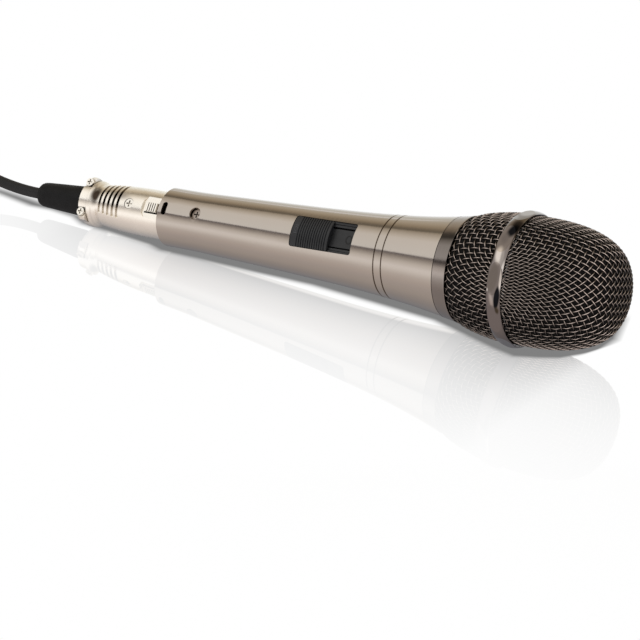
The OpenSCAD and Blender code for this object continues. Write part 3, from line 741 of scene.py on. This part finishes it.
def wire_mesh(name, wires, radius, sides=8):
    """one mesh of round wires; the crest attribute is 1 on top of a crossing, 0 below"""
    vertices, faces, crest = [], [], []
    first = 0
    for wire in wires:
        points = wire[:, :3]
        count = len(points)
        tangent = np.gradient(points, axis=0)
        tangent /= np.linalg.norm(tangent, axis=1)[:, None]
        # mostly radial, with a little x so that it holds near the pole
        guide = np.stack([np.zeros(count), points[:, 1], points[:, 2]], 1)
        guide = guide + np.array([0.4, 0, 0])
        across = guide - (guide * tangent).sum(1)[:, None] * tangent
        across /= np.linalg.norm(across, axis=1)[:, None]
        other = np.cross(tangent, across)
        turn = np.arange(sides) * 2 * np.pi / sides
        ring = points[:, None, :] + radius * (np.cos(turn)[None, :, None] * across[:, None, :]
                                              + np.sin(turn)[None, :, None] * other[:, None, :])
        vertices.append(ring.reshape(-1, 3))
        crest.append(np.repeat(wire[:, 3] * 0.5 + 0.5, sides))
        index = first + np.arange(count * sides).reshape(count, sides)
        beside = np.roll(index, -1, 1)
        quads = np.stack([index[:-1], beside[:-1], beside[1:], index[1:]], -1).reshape(-1, 4)
        faces.extend(map(tuple, quads[:, ::-1].tolist()))
        faces.append(tuple(index[0].tolist()))
        faces.append(tuple(index[-1][::-1].tolist()))
        first += count * sides
    piece = make_piece(name, np.vstack(vertices) * MM, faces, "mesh_wire", "grille")
    attribute = piece.data.attributes.new("crest", "FLOAT", "POINT")
    attribute.data.foreach_set("value", np.concatenate(crest).astype(np.float32))
    return piece


def grille_half(half, outline, side, wire, pitch, count, closest, stiffness, turn, keep):
    """wire is the diameter, count the crossings tried from the pole to the rim"""
    surface = Surface(outline, inset=wire, side=side)
    arcs, angles = settle(surface, *drape(surface, pitch, count), pitch, closest, stiffness)
    families = weave_wires(surface, arcs, angles, turn, wire / 2, keep)
    pieces = [wire_mesh(f"{half}_weave_{family}", wires, wire / 2)
              for family, wires in zip(("warp", "weft"), families)]
    for piece in pieces:
        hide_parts(f"grille_{half}_mesh")


def front_outline():
    """a superelliptic dome, then a straight skirt toward low x"""
    radius, height, base_x, skirt_end = 23.6, 35.0, 157.5, 138.0
    radius_power, height_power = 3.34, 2.4
    t = np.radians(np.linspace(90, 0, 700))
    dome = np.stack([radius * np.cos(t) ** (2 / radius_power),
                     base_x + height * np.sin(t) ** (2 / height_power)], 1)
    dome[0, 0] = 0
    return np.vstack([dome, [[radius, base_x - 1], [radius, skirt_end]]])


# rear half from its pole, as (radius, x)
REAR_STATIONS = np.array([
    [0.0, 124.6], [9.0, 125.2], [14.0, 126.6], [17.6, 128.8], [19.0, 130.6], [19.7, 131.9],
    [20.2, 132.7], [20.85, 134], [21.8, 137], [22.65, 141], [23.42, 146], [23.86, 150.5],
    [23.9, 153.3], [23.9, 168.0],
])


def rear_outline():
    """the stations, evenly resampled and smoothed"""
    steps = np.linalg.norm(np.diff(REAR_STATIONS, axis=0), axis=1)
    along = np.r_[0, np.cumsum(steps)]
    even = np.linspace(0, along[-1], 400)
    outline = np.stack([np.interp(even, along, REAR_STATIONS[:, i]) for i in (0, 1)], 1)
    for _ in range(60):
        outline[1:-1] = outline[1:-1] * 0.5 + (outline[:-2] + outline[2:]) * 0.25
    return outline


BIAS = math.radians(90 + 73)  # azimuth of the bias of the weave, from +Y toward +Z
BAND_GAP = 0.3  # from the middle of the band to the wire ends

grille_half("front", front_outline(), side=1, wire=0.37, pitch=2.04, count=40, closest=1.17,
            stiffness=0.15, turn=BIAS - math.pi / 4,
            keep=lambda x, radius: x > BAND_X_MM + BAND_GAP)
grille_half("rear", rear_outline(), side=-1, wire=0.41, pitch=2.22, count=32, closest=1.43,
            stiffness=0.3, turn=BIAS - math.radians(41),
            keep=lambda x, radius: (x < BAND_X_MM - BAND_GAP) & (x > 130.2) & (radius > 18.4))


# ---------------------------------------------------------------- latch spring, in mm
def rolled(x, y, z):
    """a point given with the latch on top, turned into place, in metres"""
    cosine, sine = math.cos(ROLL), math.sin(ROLL)
    return (x * MM, (y * cosine - z * sine) * MM, (y * sine + z * cosine) * MM)


def latch_spring():
    """a flat leaf with a hook at its high x end"""
    start, length, parts = -13.8, 18.0, 36
    section = ((-1.6, 6.3), (1.6, 6.3), (1.6, 6.8), (-1.6, 6.8))  # y, z
    hook = [(2.05, 6.7), (3.6, 6.7), (3.3, 7.7), (3.2, 9.7), (2.05, 9.7)]  # x, z
    hook_half_width = 1.5
    vertices, faces = [], []
    for i in range(parts + 1):
        vertices += [rolled(start + length * i / parts, y, z) for y, z in section]
    for i in range(parts):
        for corner in range(4):
            here, beside = 4 * i + corner, 4 * i + (corner + 1) % 4
            faces.append((here, here + 4, beside + 4, beside))
    end = 4 * parts
    faces += [(0, 1, 2, 3), (end + 3, end + 2, end + 1, end)]
    first, count = len(vertices), len(hook)
    for y in (-hook_half_width, hook_half_width):
        vertices += [rolled(x, y, z) for x, z in hook]
    faces.append(tuple(first + i for i in reversed(range(count))))
    faces.append(tuple(first + count + i for i in range(count)))
    for i in range(count):
        j = (i + 1) % count
        faces.append((first + i, first + j, first + count + j, first + count + i))
    return make_piece("latch_spring", vertices, faces, "leaf_dark", smooth=False)


spring = latch_spring()
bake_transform(spring)
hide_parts("latch_leaf")


# ---------------------------------------------------------------- switch markings, in mm
def handle_radius(x):
    """radius of the handle past the first tenth of its length"""
    thin, thick = 11.5, 18.9
    start, end = 8, 125.7
    flare = 0.435 * (thick - thin)  # the part that grows with the fifth power
    cone = (thick - thin - flare) / (1 - 0.04)
    q = (x - start) / (end - start)
    return thin + cone * (q - 0.04) + flare * q**5


SWITCH_X = 75
SWITCH_ENDS = (62, 88)  # the switch is as steep as the handle between these
switch_rise = handle_radius(SWITCH_ENDS[1]) - handle_radius(SWITCH_ENDS[0])
switch_slope = math.atan(switch_rise / (SWITCH_ENDS[1] - SWITCH_ENDS[0]))
SWITCH_FRAME = (Matrix.Rotation(ROLL, 4, "X")
                @ Matrix.Translation((SWITCH_X, 0, handle_radius(SWITCH_X)))
                @ Matrix.Rotation(-switch_slope, 4, "Y"))


def raised_marks(name, marks, top, depth, material, body):
    """flat marks in the switch's frame; each is (hole outline or None, outer outline)"""
    vertices, faces = [], []
    for hole, outer in marks:
        count = len(outer)
        first = len(vertices)
        rings = [(outer, -depth), (outer, 0.0)]
        if hole:
            rings += [(hole, 0.0), (hole, -depth)]
        for outline, lift in rings:
            vertices += [SWITCH_FRAME @ Vector((x, y, top(y) + lift)) * MM for x, y in outline]
        for ring in range(4 if hole else 1):
            here = first + ring * count
            after = first + (ring + 1) % len(rings) * count
            for i in range(count):
                j = (i + 1) % count
                faces.append((here + i, here + j, after + j, after + i))
        if not hole:
            faces.append(tuple(first + count + i for i in range(count)))
            faces.append(tuple(first + i for i in reversed(range(count))))
    make_piece(name, vertices, faces, material, body, smooth=False)


def ellipse(x, y, half_x, half_y, count=40):
    return [(x + half_x * math.cos(2 * math.pi * i / count),
             y + half_y * math.sin(2 * math.pi * i / count)) for i in range(count)]


def rounded_bar(x, y, half_x, half_y, count=10):
    """count points on each rounded corner"""
    radius = min(half_x, half_y) * 0.6
    outline = []
    for x_side, y_side, start in ((1, 1, 0), (-1, 1, 90), (-1, -1, 180), (1, -1, 270)):
        for i in range(count):
            angle = math.radians(start + 90 * i / (count - 1))
            outline.append((x + x_side * (half_x - radius) + radius * math.cos(angle),
                            y + y_side * (half_y - radius) + radius * math.sin(angle)))
    return outline


SLIDER_CURVE = 13.9  # radius of the slider's top across its width

plastic("mark", (0.034, 0.034, 0.038), 0.35, grain=0.1)
plastic("mark_dark", (0.0012, 0.0012, 0.0015), 0.6, grain=0.1)
raised_marks("switch_symbols",
             [(ellipse(10.9, 0, 0.95, 1.25), ellipse(10.9, 0, 1.45, 1.75)),
              (None, rounded_bar(-8.2, 0, 0.28, 1.6))],
             top=lambda y: -2.45, depth=0.06, material="mark_dark", body="handle")
raised_marks("slider_mark",
             [(ellipse(-11.4, 0.55, 0.42, 0.62), ellipse(-11.4, 0.55, 0.68, 0.9)),
              (None, rounded_bar(-11.4, -0.95, 0.72, 0.16)),
              (None, rounded_bar(-11.4, 1.95, 0.72, 0.16))],
             top=lambda y: math.sqrt(SLIDER_CURVE**2 - y * y) - SLIDER_CURVE + 0.09,
             depth=0.2, material="mark", body="slider")

# ---------------------------------------------------------------- floor, in metres
FLOOR_TILT = math.radians(4.4)
FLOOR_HALF = 4.0
FLOOR_TOUCH = Vector((BAND_X_MM * MM, 0, -0.0243))  # lowest point of the band
FLOOR_GAP = 0.0001
# contact shadow: x, its edge on the camera side (-Y), its far edge (+Y)
FOOTPRINT = [
    (-0.092, 0.0065, 0.011), (-0.073, 0.003, 0.009), (-0.063, 0.0045, 0.008),
    (-0.052, 0.0035, 0.007), (-0.044, -0.001, 0.006), (-0.03, -0.0018, 0.010),
    (-0.01, -0.0035, 0.012), (-0.003, -0.006, 0.012), (0.012, -0.0045, 0.012),
    (0.037, -0.0025, 0.014), (0.063, 0.0002, 0.016), (0.09, -0.0004, 0.017),
    (0.117, -0.0015, 0.017), (0.133, -0.0068, 0.018), (0.147, -0.0115, 0.02),
    (0.156, -0.0135, 0.02), (0.164, -0.009, 0.03), (0.170, -0.0045, 0.045),
    (0.1755, 0.0045, 0.047), (0.178, 0.012, 0.047), (0.1815, 0.024, 0.047),
]
FOOT_START, FOOT_END = -0.11, 0.19  # x range of the ramp that holds the footprint
FOOT_REACH = 0.05  # y range of its colours, either way


def floor_shadow(graph, x, y):
    """how much of the contact shadow covers a point, and the shadow's near edge"""
    stops = [((at - FOOT_START) / (FOOT_END - FOOT_START),
              ((near + FOOT_REACH) / (2 * FOOT_REACH), (far + FOOT_REACH) / (2 * FOOT_REACH), 0.0))
             for at, near, far in FOOTPRINT]
    edges = graph.ramp(graph.remap(x, (FOOT_START, FOOT_END), (0.0, 1.0)), stops)
    channels = graph.add("ShaderNodeSeparateColor", {0: edges}).outputs
    near, far = [graph.math("MULTIPLY_ADD", channels[i], 2 * FOOT_REACH, -FOOT_REACH)
                 for i in (0, 1)]
    past_near = graph.remap(graph.math("SUBTRACT", y, near),
                            (-0.0035, 0.0022), (0.0, 1.0), smooth=True)
    before_far = graph.remap(graph.math("SUBTRACT", y, far),
                             (-0.004, 0.004), (1.0, 0.0), smooth=True)
    # the high x end is cut off obliquely on the far side
    beyond = graph.math("MAXIMUM", graph.math("SUBTRACT", y, 0.024), 0.0)
    slanted_x = graph.math("MULTIPLY_ADD", beyond, 0.3, x)
    ends = graph.math("MULTIPLY", graph.remap(slanted_x, (0.1775, 0.1815), (1.0, 0.0)),
                      graph.remap(x, (FOOT_START, -0.098), (0.0, 1.0)), clamp=True)
    across = graph.math("MULTIPLY", past_near, before_far)
    return graph.math("MULTIPLY", across, ends, clamp=True), near


def floor_material():
    """White, with the contact shadow and a faint reflection that fades toward the camera."""
    graph = new_material("floor")
    output = graph.add("ShaderNodeOutputMaterial")
    position = graph.add("ShaderNodeNewGeometry").outputs["Position"]
    x, y, _ = graph.separate(position)
    shadow, near = floor_shadow(graph, x, y)
    distance = graph.math("MAXIMUM", graph.math("SUBTRACT", near, y), 0.0)
    mirror = graph.math("EXPONENT", graph.math("MULTIPLY", distance, -26.0))
    mirror = graph.math("MULTIPLY", mirror, graph.remap(y, (0.01, 0.03), (0.46, 0.0)))
    mirror = graph.math("MULTIPLY", mirror, graph.remap(x, (-0.09, 0.01), (0.12, 1.0)),
                        clamp=True)
    color = graph.mix(shadow, rgba(grey(1.0)), rgba(grey(0.215)))
    grain = graph.remap(graph.noise(position, scale=900), (0.3, 0.7), (0.996, 1.004))
    white = graph.add("ShaderNodeEmission", {"Color": color, "Strength": grain})
    gloss = graph.add("ShaderNodeBsdfGlossy", {"Color": rgba(grey(1)), "Roughness": 0.015})
    unshaded = graph.math("MULTIPLY", mirror, graph.math("SUBTRACT", 1.0, shadow))
    graph.put(output, 0, graph.mix_shader(unshaded, white.outputs[0], gloss.outputs[0]))


def build_floor():
    normal = Vector((math.sin(FLOOR_TILT), 0, math.cos(FLOOR_TILT)))
    middle = FLOOR_TOUCH - normal * FLOOR_GAP
    along = Vector((math.cos(FLOOR_TILT), 0, -math.sin(FLOOR_TILT)))
    across = Vector((0, 1, 0))
    corners = [middle + along * i * FLOOR_HALF + across * j * FLOOR_HALF
               for i, j in ((-1, -1), (1, -1), (1, 1), (-1, 1))]
    mesh = bpy.data.meshes.new("floor")
    mesh.from_pydata(corners, [], [(0, 1, 2, 3)])
    floor = bpy.data.objects.new("floor", mesh)
    scene.collection.objects.link(floor)
    floor_material()
    mesh.materials.append(MATERIALS["floor"])
    floor.visible_glossy = False


build_floor()

# ---------------------------------------------------------------- studio light
# what polished metal mirrors: strips parallel to the microphone, as (degrees, colour);
# degrees run from the turned upright toward the camera side
STRIPS = [
    (-180, (0.45, 0.415, 0.40)), (-165, (0.38, 0.355, 0.35)), (-150, (0.32, 0.305, 0.31)),
    (-135, (0.27, 0.265, 0.28)), (-112, (0.17, 0.17, 0.18)), (-100, (0.14, 0.14, 0.15)),
    (-95, (0.55, 0.56, 0.57)), (-86, (0.90, 0.92, 0.95)), (-58, (0.65, 0.66, 0.63)),
    (-40, (0.55, 0.52, 0.45)), (-24, (0.48, 0.42, 0.33)), (-12, (0.36, 0.30, 0.22)),
    (-2, (0.20, 0.17, 0.13)), (3, (0.16, 0.14, 0.11)), (7, (0.42, 0.37, 0.30)),
    (23, (0.68, 0.64, 0.58)), (33, (0.78, 0.76, 0.73)), (70, (0.79, 0.79, 0.78)),
    (74.2, (0.82, 0.81, 0.81)), (75.2, (0.11, 0.10, 0.11)), (84, (0.35, 0.32, 0.30)),
    (97, (0.68, 0.65, 0.62)), (111, (0.87, 0.85, 0.85)), (118, (0.84, 0.82, 0.81)),
    (133, (0.64, 0.60, 0.58)), (145, (0.57, 0.52, 0.50)), (160, (0.50, 0.46, 0.45)),
    (180, (0.45, 0.415, 0.40)),
]
STRIP_STRENGTH = 1.3
# white card for the floor to mirror: direction of its middle, then its two edge directions
# each with the slopes where it starts and finishes fading out
CARD_MIDDLE = (-0.43959599, 0.79458521, 0.41879553)
CARD_EDGES = [((0.84377776, 0.52515341, -0.1106932), (0.14, 0.17)),
              ((-0.30788708, 0.30471007, -0.90130867), (0.055, 0.065))]


def build_world():
    world = bpy.data.worlds.new("studio")
    scene.world = world
    graph = Graph(world)
    direction = graph.add("ShaderNodeTexCoord").outputs["Generated"]
    angle = graph.math("ADD", graph.azimuth(graph.separate(direction)), STUDIO_TURN)
    angle = graph.math("WRAP", angle, math.pi, -math.pi)
    strips = graph.degree_ramp(graph.turn(angle), STRIPS)

    def along(vector):
        node = graph.add("ShaderNodeVectorMath", {0: direction, 1: vector},
                         operation="DOT_PRODUCT")
        return node.outputs["Value"]

    def background(color, strength):
        inputs = {"Color": color, "Strength": strength}
        return graph.add("ShaderNodeBackground", inputs).outputs[0]

    ahead = along(CARD_MIDDLE)
    fades = []
    for edge, fade in CARD_EDGES:
        slope = graph.math("ABSOLUTE", graph.math("DIVIDE", along(edge), ahead))
        fades.append(graph.remap(slope, fade, (1.0, 0.0)))
    card = graph.math("MULTIPLY", *fades, clamp=True)
    card = graph.math("MULTIPLY", card, graph.math("GREATER_THAN", ahead, 0.5))
    mirrored_room = graph.mix(card, strips, rgba(grey(1 / STRIP_STRENGTH)))

    rays = graph.add("ShaderNodeLightPath").outputs
    lit = graph.mix_shader(rays["Is Glossy Ray"], background(rgba((1.0, 0.995, 0.985)), 1.12),
                           background(mirrored_room, STRIP_STRENGTH))
    seen = graph.mix_shader(rays["Is Camera Ray"], lit, background(rgba(grey(1)), 1.0))
    graph.add("ShaderNodeOutputWorld", {0: seen})
    world.cycles.sampling_method = "NONE"


build_world()

# ---------------------------------------------------------------- camera
# in the camera's own axes: x right, y down, z forward
AXIS_SEEN = np.array([0.85077962, 0.16637529, -0.49849102])  # direction of +X
ORIGIN_SEEN = np.array([-57.27825439, -40.08365728, 974.58275964]) * MM


def build_camera():
    upright = np.array([0, -1.0, 0])
    upright -= (upright @ AXIS_SEEN) * AXIS_SEEN
    upright /= np.linalg.norm(upright)
    toward = np.cross(AXIS_SEEN, upright)
    z_seen = math.cos(STUDIO_TURN) * upright + math.sin(STUDIO_TURN) * toward
    y_seen = np.cross(z_seen, AXIS_SEEN)
    to_world = np.stack([AXIS_SEEN, y_seen, z_seen])
    pose = np.eye(4)
    pose[:3, :3] = to_world * (1, -1, -1)  # Blender's camera has y up and looks along -z
    pose[:3, 3] = to_world @ (-ORIGIN_SEEN)
    lens = bpy.data.cameras.new("cam")
    lens.sensor_width = 36
    lens.lens = 140.625
    lens.clip_start = 0.01
    lens.clip_end = 50
    camera = bpy.data.objects.new("cam", lens)
    camera.matrix_world = Matrix(pose.tolist())
    scene.collection.objects.link(camera)
    scene.camera = camera


build_camera()
